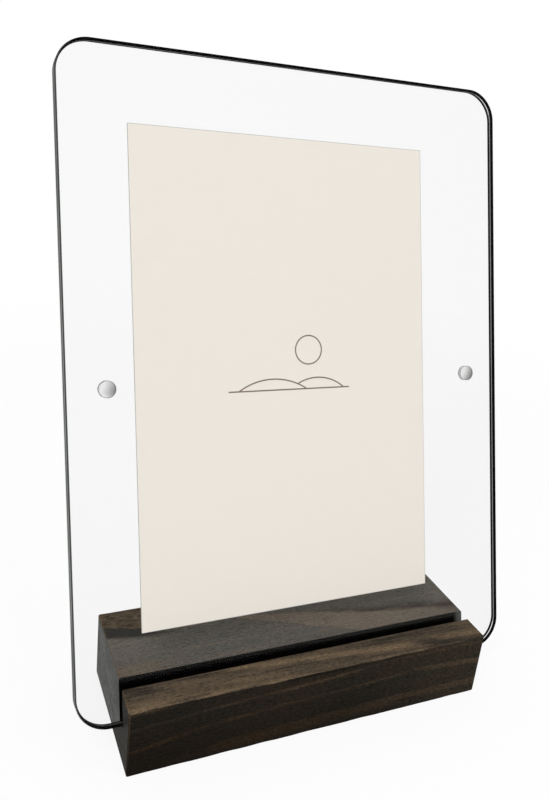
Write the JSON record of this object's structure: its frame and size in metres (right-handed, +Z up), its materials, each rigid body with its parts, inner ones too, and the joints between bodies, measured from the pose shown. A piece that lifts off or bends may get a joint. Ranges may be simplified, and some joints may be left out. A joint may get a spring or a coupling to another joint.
{
  "type": "acrylic photo stand",
  "caption": "Clear acrylic panes closed by disc magnets clasp a paper print and lean back in an inclined slot across a dark-stained wooden block.",
  "frame": {"origin": "middle of the wooden block's underside", "axes": "+Z up, +X along the slot to the right as seen from the front, +Y towards the back, the way the panes lean"},
  "size_m": [0.15, 0.0727, 0.2012],
  "materials": {
    "stained_wood": "dark stain, open grain, satin oil",
    "clear_acrylic": "polished clear sheet",
    "print_paper": "matte",
    "nickel_plate": "bright nickel plate"
  },
  "bodies": {
    "base": {"base_block": "stained_wood"},
    "rear_panel": {"rear_pane": "clear_acrylic", "rear_left_magnet": "nickel_plate", "rear_right_magnet": "nickel_plate"},
    "front_panel": {"front_pane": "clear_acrylic", "front_left_magnet": "nickel_plate", "front_right_magnet": "nickel_plate"},
    "print": {"photo_print": "print_paper"}
  },
  "joints": [
    {"name": "panes_lift", "type": "slide", "parent": "base", "child": "rear_panel", "axis": [0, 0.309, 0.9511], "range_m": [0, 0.06]},
    {"name": "front_pane_slide", "type": "slide", "parent": "rear_panel", "child": "front_panel", "axis": [0, 0.309, 0.9511], "range_m": [0, 0.205]},
    {"name": "print_slide", "type": "slide", "parent": "rear_panel", "child": "print", "axis": [0, 0.309, 0.9511], "range_m": [0, 0.18]}
  ]
}
